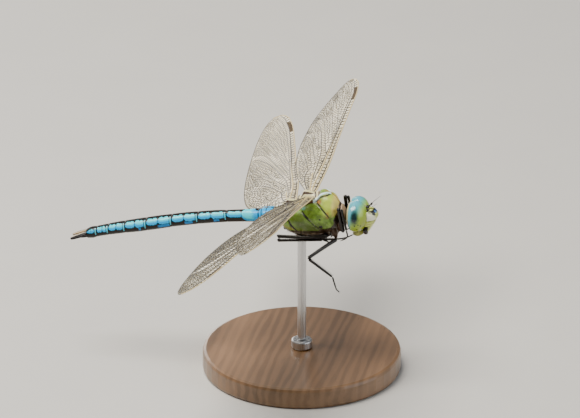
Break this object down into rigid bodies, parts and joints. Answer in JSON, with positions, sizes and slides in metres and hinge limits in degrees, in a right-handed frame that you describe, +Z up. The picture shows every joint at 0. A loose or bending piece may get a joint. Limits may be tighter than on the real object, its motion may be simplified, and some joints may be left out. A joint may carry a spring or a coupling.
{
  "type": "dragonfly",
  "caption": "Life-size hawker dragonfly in flight, with outspread net-veined wings and a long slender body, held on a plain round display stand.",
  "frame": {"origin": "centre of the underside of the stand's round base, on the floor", "axes": "+Z up; +X is the way the dragonfly flies, its head at the +X end; +Y to its left, along the wings"},
  "size_m": [0.0777, 0.1039, 0.0538],
  "materials": {
    "thorax_shell": "satin, green with dark seams",
    "neck_shell": "satin, tan and dark brown",
    "abdomen_green": "satin, pale green",
    "abdomen_blue": "satin, sky blue with black bands",
    "eye": "wet gloss, blue above and green below",
    "face_shell": "satin, yellow green",
    "head_shell": "satin, dark",
    "lower_lip": "satin, olive",
    "jaw": "gloss black",
    "feeler": "satin black",
    "leg_shell": "gloss black",
    "tail_blade": "satin dark brown",
    "wing_film": "clear film with brown veins",
    "stand_base": "dark stained, satin",
    "stand_metal": "brushed"
  },
  "bodies": {
    "root": {"abdomen_01": "abdomen_green", "abdomen_02": "abdomen_blue", "abdomen_03": "abdomen_blue", "abdomen_04": "abdomen_blue", "abdomen_05": "abdomen_blue", "abdomen_06": "abdomen_blue", "abdomen_07": "abdomen_blue", "abdomen_08": "abdomen_blue", "abdomen_09": "abdomen_blue", "abdomen_10": "abdomen_blue", "antenna_left": "feeler", "antenna_right": "feeler", "cercus_left": "tail_blade", "cercus_right": "tail_blade", "clypeus": "face_shell", "epiproct": "tail_blade", "eye_left": "eye", "eye_right": "eye", "frons": "face_shell", "head": "head_shell", "labium": "lower_lip", "labrum": "face_shell", "leg_fore_left_coxa": "leg_shell", "leg_fore_left_femur": "leg_shell", "leg_fore_left_tarsus": "leg_shell", "leg_fore_left_tibia": "leg_shell", "leg_fore_right_coxa": "leg_shell", "leg_fore_right_femur": "leg_shell", "leg_fore_right_tarsus": "leg_shell", "leg_fore_right_tibia": "leg_shell", "leg_hind_left_coxa": "leg_shell", "leg_hind_left_femur": "leg_shell", "leg_hind_left_tarsus": "leg_shell", "leg_hind_left_tibia": "leg_shell", "leg_hind_right_coxa": "leg_shell", "leg_hind_right_femur": "leg_shell", "leg_hind_right_tarsus": "leg_shell", "leg_hind_right_tibia": "leg_shell", "leg_mid_left_coxa": "leg_shell", "leg_mid_left_femur": "leg_shell", "leg_mid_left_tarsus": "leg_shell", "leg_mid_left_tibia": "leg_shell", "leg_mid_right_coxa": "leg_shell", "leg_mid_right_femur": "leg_shell", "leg_mid_right_tarsus": "leg_shell", "leg_mid_right_tibia": "leg_shell", "mandible_left": "jaw", "mandible_right": "jaw", "prothorax": "neck_shell", "stand_base": "stand_base", "stand_collar": "stand_metal", "stand_rod": "stand_metal", "thorax": "thorax_shell", "wing_fore_left": "wing_film", "wing_fore_right": "wing_film", "wing_hind_left": "wing_film", "wing_hind_right": "wing_film"}
  },
  "joints": []
}
